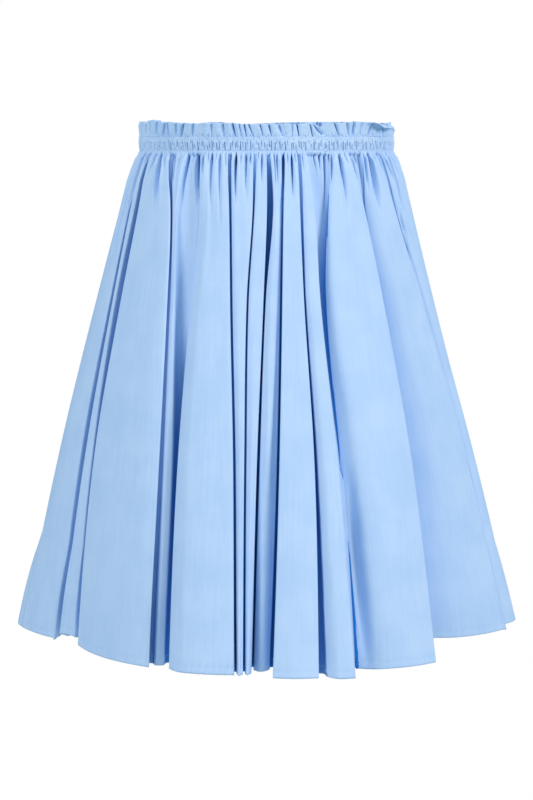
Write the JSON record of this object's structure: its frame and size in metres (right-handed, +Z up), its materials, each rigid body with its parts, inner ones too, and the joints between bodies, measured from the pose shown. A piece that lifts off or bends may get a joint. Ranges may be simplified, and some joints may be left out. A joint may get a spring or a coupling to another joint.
{
  "type": "circle skirt",
  "caption": "Knee-length flared skirt in pale blue cotton poplin, gathered into a narrow elastic channel with a ruffled heading above it and a narrow turned-up hem, held open as when worn.",
  "frame": {"origin": "middle of the waist opening, half way up the elastic channel", "axes": "+Z up along the axis of the waist, the front of the skirt faces -Y, +X towards the viewer's right as seen from the front"},
  "size_m": [0.5513, 0.5574, 0.5609],
  "materials": {
    "cotton_poplin": "matt, plain weave, crisp",
    "gathered_poplin": "matt, plain weave, finely gathered"
  },
  "bodies": {
    "root": {"skirt_front": "cotton_poplin", "skirt_back": "cotton_poplin", "hem_turn_front": "cotton_poplin", "hem_turn_back": "cotton_poplin", "channel_front": "gathered_poplin", "channel_back": "gathered_poplin", "ruffle_front": "gathered_poplin", "ruffle_back": "gathered_poplin"}
  },
  "joints": []
}
